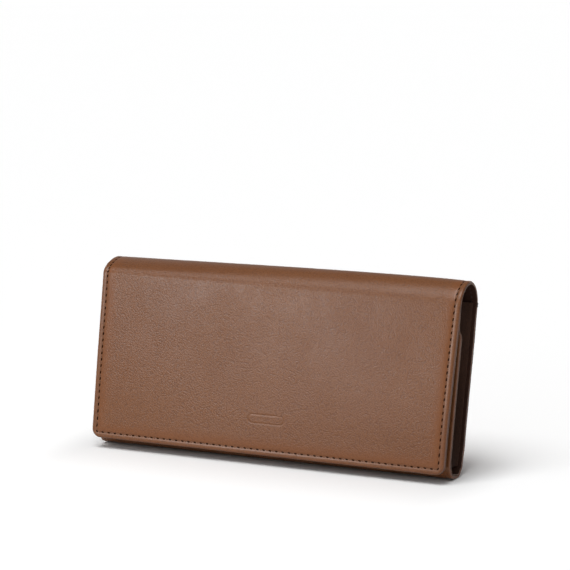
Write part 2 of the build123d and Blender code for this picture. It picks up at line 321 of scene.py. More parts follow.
# a sheet along a run, between two depths below it, its free edges rounded; mats are face and rim
def sheet(name, run, begin, end, near, far, mats, nearRound, farRound, freeBegin=False, freeEnd=False,
          corner=0.0, relief=None, step=2.2 * mm, fine=None):
    width, arcStep = halfLength, 0.42 * mm
    rows = set()
    marks = [begin] + [m for m in run.marks if begin < m < end] + [end]
    for low, high in zip(marks, marks[1:]):
        straight = float(np.dot(run.at(low + 1e-7)[1], run.at(high - 1e-7)[1])) > 0.9999
        rows.update(spread(low, high, step if straight else arcStep))
    steps = [o * mm for o in edgeSteps]
    frees = [(begin, 1)] * freeBegin + [(end, -1)] * freeEnd
    for edge, sign in frees:
        rows = {r for r in rows if abs(r - edge) > steps[-1] or r in (begin, end)}
        rows.update(edge + sign * o for o in steps)
        rows.update(edge + sign * corner * (1 - math.cos(deg(a))) for a in range(12, 90, 12) if corner)
    inner = width - steps[-1]
    middle = spread(-inner, inner, step)[1:-1]
    if fine:
        fineX, fineLow, fineHigh, fineStep = fine
        rows = {r for r in rows if not fineLow < r < fineHigh} | set(spread(fineLow, fineHigh, fineStep))
        middle = sorted({m for m in middle if abs(m) > fineX} | set(spread(-fineX, fineX, fineStep)))
    rows = sorted(r for r in rows if begin - 1e-9 <= r <= end + 1e-9)
    rows = [r for i, r in enumerate(rows) if i == 0 or r - rows[i - 1] > 0.02 * mm]

    def halfWidthAt(s):
        lost = 0.0
        for edge, sign in frees:
            gap = sign * (s - edge)
            if corner and gap < corner:
                lost = max(lost, corner - math.sqrt(max(corner**2 - (corner - gap) ** 2, 0)))
        return width - lost

    def edgeDistance(x, s):
        best = width - abs(x)
        for edge, sign in frees:
            gap = sign * (s - edge)
            best = min(best, gap)
            if corner and gap < corner and abs(x) > width - corner:
                best = min(best, corner - math.hypot(abs(x) - (width - corner), corner - gap))
        return best

    points, edges = [], []
    for depthOf, radius, sign, reliefOf in ((near, nearRound, 1, relief), (far, farRound, -1, None)):
        for s in rows:
            place, out = run.at(s)
            w = halfWidthAt(s)
            base = depthOf(s)
            xs = [-w + o for o in steps] + [v * w / width for v in middle] + [w - o for o in reversed(steps)]
            for x in xs:
                edge = edgeDistance(x, s)
                depth = base + sign * roundOff(edge, radius)
                if reliefOf is not None:
                    depth -= reliefOf(x, s, edge)
                q = place - out * depth
                points.append((x, q[0], q[1]))
                edges.append(edge)
    faces, firstRim = shellFaces(len(rows), 2 * len(steps) + len(middle))
    obj = newObject(name, points, faces, mats[0])
    obj.data.materials.append(mats[1])
    for i in range(firstRim, len(faces)):
        obj.data.polygons[i].material_index = 1
    storeEdge(obj, edges)
    return obj


# materials
def newMaterial(name, colour, roughness, metallic=0.0, sheen=0.0):
    mat = bpy.data.materials.new(name)
    mat.use_nodes = True
    shader = mat.node_tree.nodes["Principled BSDF"]
    shader.inputs["Base Color"].default_value = (*colour, 1)
    shader.inputs["Roughness"].default_value = roughness
    shader.inputs["Metallic"].default_value = metallic
    shader.inputs["Sheen Weight"].default_value = sheen
    return mat, Nodes(mat.node_tree), shader


# short calls for shader nodes in one tree
class Nodes:
    def __init__(self, tree):
        self.tree = tree

    def put(self, node, inputs):
        for key, value in inputs.items():
            if isinstance(value, bpy.types.NodeSocket):
                self.tree.links.new(value, node.inputs[key])
            else:
                node.inputs[key].default_value = value
        return node

    def add(self, kind, inputs=None, **settings):
        node = self.tree.nodes.new(kind)
        for key, value in settings.items():
            setattr(node, key, value)
        return self.put(node, inputs or {})

    def where(self):
        return self.add("ShaderNodeTexCoord").outputs["Object"]

    def bump(self, height, strength, distance):
        inputs = {"Height": height, "Strength": strength, "Distance": distance}
        return self.add("ShaderNodeBump", inputs).outputs["Normal"]

    def math(self, operation, a, b=0.0, c=0.0):
        return self.add("ShaderNodeMath", {0: a, 1: b, 2: c}, operation=operation).outputs[0]

    def range(self, value, low, high, toLow=0.0, toHigh=1.0):
        inputs = {"Value": value, "From Min": low, "From Max": high, "To Min": toLow, "To Max": toHigh}
        return self.add("ShaderNodeMapRange", inputs, interpolation_type="SMOOTHSTEP").outputs["Result"]

    def noise(self, vector, scale, detail=2.0, rough=0.5):
        inputs = {"Vector": vector, "Scale": scale, "Detail": detail, "Roughness": rough}
        return self.add("ShaderNodeTexNoise", inputs)

    def mix(self, share, a, b):
        return self.add("ShaderNodeMix", {0: share, 6: a, 7: b}, data_type="RGBA").outputs[2]


# pebbled leather: cells with soft valleys, slow colour changes, smooth pressed borders beside the stitches
def leatherMaterial(name, look):
    mat, n, shader = newMaterial(name, look["colour"], look["roughness"])
    cell = look["cell"]
    where = n.where()
    edge = n.add("ShaderNodeAttribute", attribute_name="edge").outputs["Fac"]
    pressed = n.range(edge, 3.2 * mm, 7.5 * mm) if look.get("border") else 1.0
    warp = n.noise(where, 0.6 / cell).outputs["Color"]
    bent = n.add("ShaderNodeVectorMath", {0: warp, 1: (cell * 0.8,) * 3, 2: where}, operation="MULTIPLY_ADD")
    cells = n.add("ShaderNodeTexVoronoi", {"Vector": bent.outputs[0], "Scale": 1 / cell, "Smoothness": 0.5},
                  feature="SMOOTH_F1").outputs["Distance"]
    fine = n.noise(where, 2.7 / cell, 3.0, 0.6).outputs["Fac"]
    patches = n.noise(where, 55.0, 3.0, 0.6).outputs["Fac"]
    slow = n.noise(where, 17.0, 4.0, 0.55).outputs["Fac"]
    height = n.math("MULTIPLY_ADD", cells, -1.0, n.math("MULTIPLY", fine, 0.7))
    amount = n.math("MULTIPLY", n.range(patches, 0.25, 0.75, 0.65, 1.1), look["grain"])
    if look.get("border"):
        amount = n.math("MULTIPLY", amount, n.range(edge, 3.0 * mm, 7.0 * mm, 0.35, 1.0))
    base = n.mix(n.range(slow, 0.3, 0.7), (*look["colour"], 1), (*look["second"], 1))
    base = n.mix(n.range(fine, 0.3, 0.75, 0.0, 0.22), base, (*look["light"], 1))
    base = n.mix(n.range(cells, 0.35, 0.8, 0.0, look["pits"]), base, (*look["dark"], 1))
    if look.get("border"):
        rub = n.range(patches, 0.35, 0.7, 0.1, 0.5)
        rub = n.math("MULTIPLY", n.range(edge, 0.0, 0.7 * mm, 1.0, 0.0), rub)
        base = n.mix(rub, base, (*look["dark"], 1))
        warmth = n.range(edge, 4.5 * mm, 10 * mm, 0.5, 0.0)
        warmth = n.math("MULTIPLY", n.range(edge, 2.6 * mm, 3.4 * mm), warmth)
        base = n.mix(warmth, base, (*look["warm"], 1))
    gloss = n.range(fine, 0.2, 0.8, look["roughness"] - 0.04, look["roughness"] + 0.08)
    n.put(shader, {"Normal": n.bump(height, amount, look["grainDepth"]), "Base Color": base,
                   "Roughness": gloss, "Specular IOR Level": look["specular"]})
    return mat


looks = {
    "saddle": {
        "colour": (0.160, 0.058, 0.018), "second": (0.143, 0.049, 0.014),
        "light": (0.21, 0.090, 0.036), "dark": (0.07, 0.022, 0.008), "warm": (0.175, 0.058, 0.016),
        "roughness": 0.32, "specular": 0.33, "cell": 0.66 * mm, "grain": 1.0, "grainDepth": 0.105 * mm,
        "pits": 0.45, "border": True,
    },
    "lining": {
        "colour": (0.034, 0.0135, 0.0085), "second": (0.025, 0.010, 0.006),
        "light": (0.058, 0.027, 0.018), "dark": (0.012, 0.005, 0.003), "roughness": 0.55,
        "specular": 0.12, "cell": 0.5 * mm, "grain": 0.45, "grainDepth": 0.08 * mm, "pits": 0.3,
    },
    "inner": {
        "colour": (0.050, 0.021, 0.012), "second": (0.037, 0.015, 0.008),
        "light": (0.085, 0.042, 0.026), "dark": (0.016, 0.007, 0.004), "roughness": 0.5,
        "specular": 0.28, "cell": 0.6 * mm, "grain": 0.6, "grainDepth": 0.1 * mm, "pits": 0.4,
    },
    "rawEdge": {
        "colour": (0.15, 0.052, 0.024), "second": (0.115, 0.038, 0.017), "light": (0.20, 0.088, 0.048),
        "dark": (0.03, 0.011, 0.006), "roughness": 0.55, "specular": 0.3, "cell": 0.35 * mm,
        "grain": 0.5, "grainDepth": 0.06 * mm, "pits": 0.5,
    },
    "edgePaint": {
        "colour": (0.175, 0.100, 0.064), "second": (0.135, 0.074, 0.046),
        "light": (0.24, 0.155, 0.105), "dark": (0.06, 0.032, 0.02), "roughness": 0.5, "specular": 0.3,
        "cell": 0.4 * mm, "grain": 0.35, "grainDepth": 0.05 * mm, "pits": 0.3,
    },
    "darkPaint": {
        "colour": (0.035, 0.020, 0.020), "second": (0.028, 0.015, 0.014), "light": (0.06, 0.04, 0.036),
        "dark": (0.012, 0.007, 0.007), "roughness": 0.45, "specular": 0.5, "cell": 0.4 * mm,
        "grain": 0.35, "grainDepth": 0.05 * mm, "pits": 0.3,
    },
}
leathers = {name: leatherMaterial(name, look) for name, look in looks.items()}


# depths of the layers
def ease(t):
    t = min(max(t, 0.0), 1.0)
    return t * t * (3 - 2 * t)


# whole thickness of the wall: the flap with its board, the thinner roll, and the back and front walls
def totalDepth(s):
    if s < flapTopAt:
        t = ease((s - flapTopAt) / leatherWork["boardTaper"] + 1)
        return flapThick + (rollThick - flapThick) * t
    t = ease((s - rollEndAt) / leatherWork["boardTaper"])
    fill = 0.0
    for begin, end in ((backEndAt, baseFlatAt), (baseFlatEnd, panelStartAt)):
        if begin < s < end:
            fill = math.sin(math.pi * (s - begin) / (end - begin)) ** 2
    return rollThick + (wallThick - rollThick) * t + leatherWork["cornerFill"] * fill


def leatherDepth(s):
    return totalDepth(s) - visibleLining


def outside(s):
    return 0.0


# relief of the outer face
def borderRelief(x, s, edge):
    margin = leatherWork["stitchMargin"]
    off = abs(abs(x) - (halfLength - margin)) if s > margin else 1.0
    if abs(x) < halfLength - margin:
        off = min(off, abs(s - margin))
    off /= leatherWork["grooveWidth"] / 2
    return -leatherWork["grooveDepth"] * math.exp(-off * off)


def capsuleDistance(x, z):
    straight = (blankFrame["length"] - blankFrame["width"]) / 2
    return math.hypot(max(abs(x) - straight, 0), z) - (blankFrame["width"] - blankFrame["line"]) / 2


def flapRelief(x, s, edge):
    rise = borderRelief(x, s, edge)
    lift = ease((edge - leatherWork["pillowFrom"]) / leatherWork["pillowRise"])
    lift *= ease((flapTopAt + leatherWork["pillowPast"] - s) / leatherWork["pillowTaper"])
    rise += leatherWork["pillow"] * lift
    z = s + flapBottom - blankFrame["height"]
    if abs(z) < blankFrame["width"] and abs(x) < blankFrame["length"]:
        off = abs(capsuleDistance(x, z)) / (blankFrame["line"] / 2)
        rise -= blankFrame["depth"] * math.exp(-(off**4))
    return rise


backSplit = rollEndAt + (rollHeight - 16 * mm)
frameLow = blankFrame["height"] - flapBottom - blankFrame["fineRise"]
frameHigh = blankFrame["height"] - flapBottom + blankFrame["fineRise"]
baseStart = (0, panelFace + baseCorner, 0)
baseEnd = (0, panelFace, baseCorner + 2 * mm)

stretches = {
    "flap": (0, rollAt(135), "roll_front", "flap", rollPoint(135), rollPoint(180)),
    "rollFront": (rollAt(135), rollAt(90), "roll_top", "roll_front", rollPoint(90), rollPoint(135)),
    "rollRear": (rollAt(90), rollAt(45), "roll_rear", "roll_top", rollPoint(45), rollPoint(90)),
    "back": (rollAt(45), backSplit, "body", "roll_rear", rollPoint(0), rollPoint(45)),
    "front": (backSplit, runEnd, "body", "front_panel", baseStart, baseEnd),
}
outerNodes = {
    "flap": ["flap_leather", "flap_stiffener"], "rollFront": ["roll_front_leather"],
    "rollRear": ["roll_top_leather"], "back": ["roll_rear_leather", "back_leather", "back_stiffener"],
    "front": ["base_leather", "front_leather", "front_stiffener"],
}
liningNodes = {
    "flap": ["flap_lining"], "rollFront": ["roll_front_lining"], "rollRear": ["roll_top_lining"],
    "back": ["roll_rear_lining", "back_lining"], "front": ["base_lining", "front_lining"],
}
ends = {
    "flap": dict(freeBegin=True, corner=leatherWork["flapCorner"]),
    "front": dict(freeEnd=True, corner=leatherWork["panelCorner"]),
}


print("leather")
for name, (begin, end, a, b, start, finishAt) in stretches.items():
    more = ends.get(name, {})
    onFlap = name == "flap"
    fine = (blankFrame["fineHalf"], frameLow, frameHigh, blankFrame["fineStep"]) if onFlap else None
    relief = flapRelief if onFlap else borderRelief
    rim = leathers["rawEdge" if name in ends else "darkPaint"]
    edgeRound = leatherWork["flapEdge" if onFlap else "rollEdge"]
    piece = sheet(name + "Outer", outerRun, begin, end, outside, leatherDepth, (leathers["saddle"], rim),
                  nearRound=edgeRound, farRound=leatherWork["innerEdge"], relief=relief, fine=fine, **more)
    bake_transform(piece)
    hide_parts(*outerNodes[name])
    piece = sheet(name + "Lining", outerRun, begin, end, leatherDepth, totalDepth,
                  (leathers["lining"], leathers["edgePaint"]), nearRound=leatherWork["innerEdge"],
                  farRound=leatherWork["innerEdge"], step=5 * mm, **more)
    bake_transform(piece)
    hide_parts(*liningNodes[name])


# geometry nodes that set one small piece at every point of a list
def scatterTree(name):
    tree = bpy.data.node_groups.new(name, "GeometryNodeTree")
    sockets = {}
    for label, kind in (("Geometry", "NodeSocketGeometry"), ("Piece", "NodeSocketObject"),
                        ("Slant", "NodeSocketFloat"), ("Unevenness", "NodeSocketFloat"),
                        ("Material", "NodeSocketMaterial")):
        sockets[label] = tree.interface.new_socket(label, in_out="INPUT", socket_type=kind).identifier
    tree.interface.new_socket("Geometry", in_out="OUTPUT", socket_type="NodeSocketGeometry")
    n = Nodes(tree)
    group = n.add("NodeGroupInput")
    points = n.add("GeometryNodeMeshToPoints", {"Mesh": group.outputs["Geometry"]})
    info = n.add("GeometryNodeObjectInfo", {"Object": group.outputs["Piece"]})
    out = n.add("GeometryNodeInputNamedAttribute", {"Name": "out"}, data_type="FLOAT_VECTOR")
    along = n.add("GeometryNodeInputNamedAttribute", {"Name": "along"}, data_type="FLOAT_VECTOR")
    facing = n.add("FunctionNodeAlignRotationToVector", {"Vector": out.outputs["Attribute"]}, axis="Z")
    inputs = {"Rotation": facing.outputs["Rotation"], "Vector": along.outputs["Attribute"]}
    turned = n.add("FunctionNodeAlignRotationToVector", inputs, axis="X", pivot_axis="Z")
    chance = n.add("FunctionNodeRandomValue", {"Min": -1.0, "Max": 1.0, "Seed": 5}, data_type="FLOAT")
    chanceOut = [o for o in chance.outputs if o.enabled][0]
    lean = n.math("MULTIPLY_ADD", chanceOut, group.outputs["Unevenness"], group.outputs["Slant"])
    tilt = n.add("ShaderNodeCombineXYZ", {"Z": lean})
    inputs = {"Rotation": turned.outputs["Rotation"], "Rotate By": tilt.outputs["Vector"]}
    rotation = n.add("FunctionNodeRotateRotation", inputs, rotation_space="LOCAL").outputs["Rotation"]
    inputs = {"Points": points.outputs["Points"], "Instance": info.outputs["Geometry"], "Rotation": rotation}
    placed = n.add("GeometryNodeInstanceOnPoints", inputs)
    real = n.add("GeometryNodeRealizeInstances", {"Geometry": placed.outputs["Instances"]})
    painted = n.add("GeometryNodeSetMaterial", {"Geometry": real.outputs["Geometry"],
                                                "Material": group.outputs["Material"]})
    n.add("NodeGroupOutput", {"Geometry": painted.outputs["Geometry"]})
    return tree, sockets


scatter, scatterSockets = scatterTree("setPieces")


# one mesh with a copy of piece at each spot, a spot being a place, a direction out and a direction along
def setPieces(name, spots, piece, mat, slant=0.0, unevenness=0.0, soft=True):
    mesh = bpy.data.meshes.new(name + "Spots")
    mesh.from_pydata([tuple(s[0]) for s in spots], [], [])
    for label, index in (("out", 1), ("along", 2)):
        attribute = mesh.attributes.new(label, "FLOAT_VECTOR", "POINT")
        attribute.data.foreach_set("vector", np.array([s[index] for s in spots], np.float32).ravel())
    host = linked(name + "Spots", mesh)
    modifier = host.modifiers.new("set", "NODES")
    modifier.node_group = scatter
    values = {"Piece": piece, "Slant": slant, "Unevenness": unevenness, "Material": mat}
    for label, value in values.items():
        modifier[scatterSockets[label]] = value
    bpy.context.view_layer.update()
    depsgraph = bpy.context.evaluated_depsgraph_get()
    made = bpy.data.meshes.new_from_object(host.evaluated_get(depsgraph), depsgraph=depsgraph)
    made.name = name
    for label in ("out", "along"):
        if label in made.attributes:
            made.attributes.remove(made.attributes[label])
    bpy.data.objects.remove(host)
    obj = linked(name, made)
    made.shade_smooth()
    made.set_sharp_from_angle(angle=deg(50))
    if soft:
        softPieces.append(obj)
    return obj


def templateMesh(name, points, faces):
    mesh = bpy.data.meshes.new(name)
    mesh.from_pydata(points, [], faces)
    obj = linked(name, mesh)
    obj.hide_render = True
    templates.append(obj)
    return obj


templates = []


# a closed round body along X: (x, radius, z) at each station
def spindle(name, stations, sides=7, flat=0.7):
    points = []
    for x, r, z in stations:
        for i in range(sides):
            angle = 2 * math.pi * i / sides
            points.append((x, r * math.cos(angle), z + r * flat * math.sin(angle)))
    return templateMesh(name, points, tubeFaces(len(stations), sides))


print("stitching")
stitchWork = {
    "threadLength": 1.4 * mm, "threadRadius": 0.3 * mm, "threadSlant": 0.16,
    "holeLength": 2.4 * mm, "holeWidth": 1.2 * mm, "holeSlant": 0.72, "bottomSlant": 0.9, "unevenness": 0.07,
    "threadRise": 0.02 * mm, "holeRise": 0.015 * mm,  # above the floor of the stitched groove
    "lastFromTop": 7.5 * mm, "baseGap": 3 * mm,
}
half, thick = stitchWork["threadLength"] / 2, stitchWork["threadRadius"]
tip = [(half * 0.4, thick, 0), (half * 0.82, thick * 0.8, -thick * 0.4), (half, thick * 0.35, -thick * 1.3)]
thread = spindle("threadPiece", [(-x, r, z) for x, r, z in reversed(tip)] + tip)
# the needle holes are flat dark marks lying on the stitched groove, not hollows: painted shade standing in
# for the shade inside each hole
half, wide = stitchWork["holeLength"] / 2, stitchWork["holeWidth"] / 2
tip = [(half * 0.3, wide, 0), (half * 0.75, wide * 0.62, 0), (half, wide * 0.12, 0)]
holeShadeMark = spindle("holePiece", [(-x, r, z) for x, r, z in reversed(tip)] + tip, 10, 0.16)


def threadMaterial(name, colour, roughness):
    mat, n, shader = newMaterial(name, colour, roughness, sheen=0.1)
    where = n.where()
    waves = {"Vector": where, "Scale": 900.0, "Distortion": 2.0}
    ply = n.add("ShaderNodeTexWave", waves, bands_direction="DIAGONAL")
    shade = n.noise(where, 160.0).outputs["Fac"]
    base = n.mix(n.range(shade, 0.3, 0.7), (*colour, 1), (*[c * 0.72 for c in colour], 1))
    n.put(shader, {"Normal": n.bump(ply.outputs["Fac"], 0.5, 0.06 * mm), "Base Color": base,
                   "Specular IOR Level": 0.2})
    return mat


threadLook = threadMaterial("saddleThread", (0.150, 0.060, 0.027), 0.55)
darkThread = threadMaterial("darkThread", (0.030, 0.014, 0.010), 0.6)
# near black and without specular: the painted shade of the needle holes
holeShadeLook, _, holeShadeShader = newMaterial("needleHoleShade", (0.016, 0.005, 0.002), 0.9)
holeShadeShader.inputs["Specular IOR Level"].default_value = 0.0

rowX = halfLength - leatherWork["stitchMargin"]
rowS = leatherWork["stitchMargin"]
grooveFloor = leatherWork["grooveDepth"]


def outPoint(x, s, depth):
    place, out = outerRun.at(s)
    q = place - out * depth
    ahead, _ = outerRun.at(s + 0.05 * mm)
    along = (ahead - place) / np.linalg.norm(ahead - place)
    return (x, q[0], q[1]), (0, out[0], out[1]), (0, along[0], along[1])


count = round(2 * rowX / leatherWork["stitchPitch"])
pitch = 2 * rowX / count
bottomThreads, bottomHoles = [], []
threadDepth, holeDepth = grooveFloor - stitchWork["threadRise"], grooveFloor - stitchWork["holeRise"]
for i in range(count):
    at, out, _ = outPoint(-rowX + (i + 0.5) * pitch, rowS, threadDepth)
    bottomThreads.append((at, out, (1, 0, 0)))
for i in range(1, count):
    at, out, _ = outPoint(-rowX + i * pitch, rowS, holeDepth)
    bottomHoles.append((at, out, (1, 0, 0)))
threads = {name: ([], []) for name in stretches}
holeShades = {name: [] for name in stretches}
lastStitch = runEnd - stitchWork["lastFromTop"]
sideCount = int((lastStitch - rowS) / leatherWork["sidePitch"])
for i in range(2 * sideCount + 2):
    s = rowS + i / 2 * leatherWork["sidePitch"]
    isThread = i % 2
    if baseFlatAt - stitchWork["baseGap"] < s < panelStartAt or s > lastStitch:
        continue
    for name, (begin, end, *_) in stretches.items():
        if begin <= s < end:
            for sideIndex, side in enumerate((-1, 1)):
                spot = outPoint(side * rowX, s, threadDepth if isThread else holeDepth)
                (threads[name][sideIndex] if isThread else holeShades[name]).append(spot)
insideThreads = {name: [] for name in stretches}


def insidePoint(x, s, along=None):
    at, out, forwards = outPoint(x, s, totalDepth(s) + 0.04 * mm)
    return at, tuple(-c for c in out), along or forwards


for i in range(count):
    insideThreads["flap"].append(insidePoint(-rowX + (i + 0.5) * pitch, rowS, (1, 0, 0)))
for i in range(sideCount):
    s = rowS + (i + 0.5) * leatherWork["sidePitch"]
    inBody = rollEndAt + 1 * mm < s < panelStartAt + 2 * mm
    for name, (begin, end, *_) in stretches.items():
        if begin <= s < end and not inBody:
            insideThreads[name] += [insidePoint(side * rowX, s) for side in (-1, 1)]
stitchNodes = {"flap": ["flap_stitching"], "back": ["back_stitching"], "front": ["front_stitching"]}
for name, (begin, end, a, b, start, finishAt) in stretches.items():
    made = []
    slant, holeSlant, uneven = [stitchWork[k] for k in ("threadSlant", "holeSlant", "unevenness")]
    both = threads[name][0] + threads[name][1]
    if name == "flap":
        made.append(setPieces("bottomThread", bottomThreads, thread, threadLook, slant, uneven))
        bottomSlant = -stitchWork["bottomSlant"]
        made.append(setPieces("bottomHoles", bottomHoles, holeShadeMark, holeShadeLook, bottomSlant, uneven))
    made.append(setPieces(name + "Thread", both, thread, threadLook, -slant, uneven))
    made.append(setPieces(name + "Holes", holeShades[name], holeShadeMark, holeShadeLook, -holeSlant, uneven))
    if insideThreads[name]:
        made.append(setPieces(name + "InsideThread", insideThreads[name], thread, darkThread, 0.05, uneven))
    for piece in made:
        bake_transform(piece)
    if name in stitchNodes:
        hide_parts(*stitchNodes[name])


# gussets: a folded strip at each end
print("gussets")
gussetWork = {"thick": 0.5 * mm, "walls": 93.4 * mm, "valley": 84.5 * mm, "ridge": 90.2 * mm,
              "backTop": 85 * mm, "frontTop": 71 * mm, "foot": 2.6 * mm, "wave": 0.45 * mm}
coinFront, coinBack = lowOf("coin_pocket_front").y, highOf("coin_pocket_back").y


# point on a soft line through the knots
def smoothCurve(knots, t):
    count = len(knots) - 1
    i = min(int(t * count), count - 1)
    f = t * count - i
    p = [knots[max(0, min(count, i + k))] for k in (-1, 0, 1, 2)]
    out = []
    for a, b, c, d in zip(*p):
        out.append(b + 0.5 * f * (c - a + f * (2 * a - 5 * b + 4 * c - d + f * (3 * (b - c) + d - a))))
    return out


def gussetShape(side):
    wallBack, wallFront = backInside - 0.3 * mm, panelInside + 0.3 * mm
    walls, valley, ridge = gussetWork["walls"], gussetWork["valley"], gussetWork["ridge"]
    knots = [(walls, wallBack), (walls - 4 * mm, wallBack - 0.35 * mm),
             (valley, (coinBack + wallBack) / 2 + 0.2 * mm), (ridge - 3 * mm, coinBack + 0.5 * mm),
             (ridge, (coinFront + coinBack) / 2), (ridge - 3 * mm, coinFront - 0.5 * mm),
             (valley, (coinFront + wallFront) / 2 - 0.2 * mm),
             (walls - 4 * mm, wallFront + 0.35 * mm), (walls, wallFront)]
    columns, rows = 56, 44
    points = []
    middle = [smoothCurve(knots, i / columns) for i in range(columns + 1)]
    for layer in (-1, 1):
        for j in range(rows + 1):
            for i in range(columns + 1):
                before, after = middle[max(i - 1, 0)], middle[min(i + 1, columns)]
                dx, dy = after[0] - before[0], after[1] - before[1]
                size = math.hypot(dx, dy)
                x = middle[i][0] + layer * gussetWork["thick"] / 2 * dy / size
                y = middle[i][1] - layer * gussetWork["thick"] / 2 * dx / size
                share = (y - wallFront) / (wallBack - wallFront)
                top = gussetWork["frontTop"] + (gussetWork["backTop"] - gussetWork["frontTop"]) * ease(share)
                arch = abs(2 * share - 1)
                foot = gussetWork["foot"] + 3.2 * mm * max(arch - 0.35, 0) ** 2 / 0.42
                z = foot + (top - foot) * j / rows
                swing = math.sin(i / columns * math.pi) ** 2
                wave = math.sin(z * 210 + side) + 0.6 * math.sin(z * 95 + 2 * side)
                wave *= gussetWork["wave"] * swing
                taper = 1 - 0.55 * (1 - ease((z - foot) / (16 * mm)))
                x = walls + (x - walls) * taper + wave
                points.append((side * x, y + wave * 0.5, z))
    return points, shellFaces(rows + 1, columns + 1)[0]


for label, side in (("Left", -1), ("Right", 1)):
    points, faces = gussetShape(side)
    piece = newObject("gusset" + label, points, faces, leathers["inner"])
    start, finishAt = (0, backInside - 1.5 * mm, 40 * mm), (0, panelInside + 0.6 * mm, 40 * mm)
    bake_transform(piece)
    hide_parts("gusset_" + label.lower())


# flat sewn pieces inside: rounded plates
# corner points of a rectangle with its corners rounded: bottom left, bottom right, top right, top left
def outline(low, high, corners, arc=6):
    spots = [(low[0], low[1], 180), (high[0], low[1], 270), (high[0], high[1], 0), (low[0], high[1], 90)]
    points = []
    for (x, z, fromAngle), r in zip(spots, corners):
        cx = x + (r if x == low[0] else -r)
        cz = z + (r if z == low[1] else -r)
        for k in range(arc + 1 if r else 1):
            angle = deg(fromAngle + 90 * k / arc)
            points.append((cx + r * math.cos(angle), cz + r * math.sin(angle)))
    return points


def inset(points, amount):
    out = []
    count = len(points)
    for i in range(count):
        a, b, c = points[i - 1], points[i], points[(i + 1) % count]
        n1 = np.array([-(b[1] - a[1]), b[0] - a[0]], float)
        n2 = np.array([-(c[1] - b[1]), c[0] - b[0]], float)
        n1, n2 = n1 / (np.linalg.norm(n1) + 1e-12), n2 / (np.linalg.norm(n2) + 1e-12)
        bisector = n1 + n2
        bisector = bisector / max(np.linalg.norm(bisector), 1e-9)
        reach = amount / max(float(bisector @ n1), 0.35)
        out.append((b[0] + bisector[0] * reach, b[1] + bisector[1] * reach))
    return out


# rings of a plate that lies in X and Z between two depths along Y, its edges rounded
def plateParts(points, near, far, rounding):
    steps = [(rounding * (1 - math.cos(deg(a))), rounding * (1 - math.sin(deg(a)))) for a in (90, 60, 30, 0)]
    rings = [(inset(points, a), near + b) for a, b in steps]
    rings += [(inset(points, a), far - b) for a, b in reversed(steps)]
    return [(x, y, z) for ring, y in rings for x, z in ring], tubeFaces(len(rings), len(points))


def plate(name, low, high, near, far, corners, mat, rounding=0.15 * mm):
    return newObject(name, *plateParts(outline(low, high, corners), near, far, rounding), mat, 40, False)


def boxPlate(name, low, high, corners, mat, rounding=0.15 * mm):
    return plate(name, (low.x, low.z), (high.x, high.z), low.y, high.y, corners, mat, rounding)


# one object from several, all of one body
def joined(name, objs):
    bm = bmesh.new()
    mats = []
    for obj in objs:
        for mat in obj.data.materials:
            if mat not in mats:
                mats.append(mat)
    for obj in objs:
        first = len(bm.faces)
        bm.from_mesh(obj.data)
        bm.faces.ensure_lookup_table()
        index = {i: mats.index(mat) for i, mat in enumerate(obj.data.materials)}
        for face in bm.faces[first:]:
            face.material_index = index.get(face.material_index, 0)
    mesh = bpy.data.meshes.new(name)
    bm.to_mesh(mesh)
    bm.free()
    for mat in mats:
        mesh.materials.append(mat)
    obj = linked(name, mesh)
    for old in objs:
        if old in softPieces:
            softPieces.remove(old)
        bpy.data.objects.remove(old)
    mesh.set_sharp_from_angle(angle=deg(40))
    return obj


print("card slots")
innerPitch, topCorner = 3.0 * mm, 3 * mm
for slot in range(1, 5):
    node = f"card_slot_{slot}"
    low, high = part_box(node)
    leaf = boxPlate(f"cardLeaf{slot}", low, high, (0, 0, topCorner, topCorner), leathers["inner"], 0.12 * mm)
    xs = [low.x + 4 * mm + i * innerPitch for i in range(int((high.x - low.x - 6 * mm) / innerPitch))]
    spots = [((x, low.y, high.z - 1.8 * mm), (0, -1, 0), (1, 0, 0)) for x in xs]
    seam = setPieces(f"cardSeam{slot}", spots, thread, darkThread, 0.0, 0.04, False)
    leafPiece = joined(f"cardSlot{slot}", [leaf, seam])
    softPieces.append(leafPiece)
    fasten(leafPiece, "body", node)

print("coin pocket")
frontLow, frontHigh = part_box("coin_pocket_front")
bindLow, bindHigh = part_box("coin_pocket_binding")
seamLow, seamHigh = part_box("coin_pocket_seam")
bottomRound, margin = 2.5 * mm, 2.2 * mm
pocketPieces = (
    ("coinBack", "coin_pocket_back", 1, 0.4 * mm, 0.15 * mm),
    ("coinFront", "coin_pocket_front", -1, 0.3 * mm, 0.3 * mm),
)
for name, node, outwards, topRound, rounding in pocketPieces:
    low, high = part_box(node)
    corners = (bottomRound, bottomRound, topRound, topRound)
    piece = boxPlate(name, low, high, corners, leathers["inner"], rounding)
    y = low.y if outwards < 0 else high.y
    out = (0, outwards, 0)
    spots = []
    for i in range(int((high.x - low.x - 2 * margin) / innerPitch) + 1):
        spots.append(((low.x + margin + i * innerPitch, y, low.z + margin), out, (1, 0, 0)))
    for i in range(1, int((high.z - low.z - margin) / innerPitch)):
        for x in (low.x + margin, high.x - margin):
            spots.append(((x, y, low.z + margin + i * innerPitch), out, (0, 0, 1)))
    if outwards < 0:
        for i in range(int((high.x - low.x - 4 * margin) / innerPitch) + 1):
            spots.append(((low.x + 2 * margin + i * innerPitch, y, high.z - 1.6 * mm), out, (1, 0, 0)))
    seam = setPieces(name + "Seam", spots, thread, darkThread, 0.0, 0.04, False)
    whole = joined(name + "Wall", [piece, seam])
    fasten(whole, "coin_pocket", node)


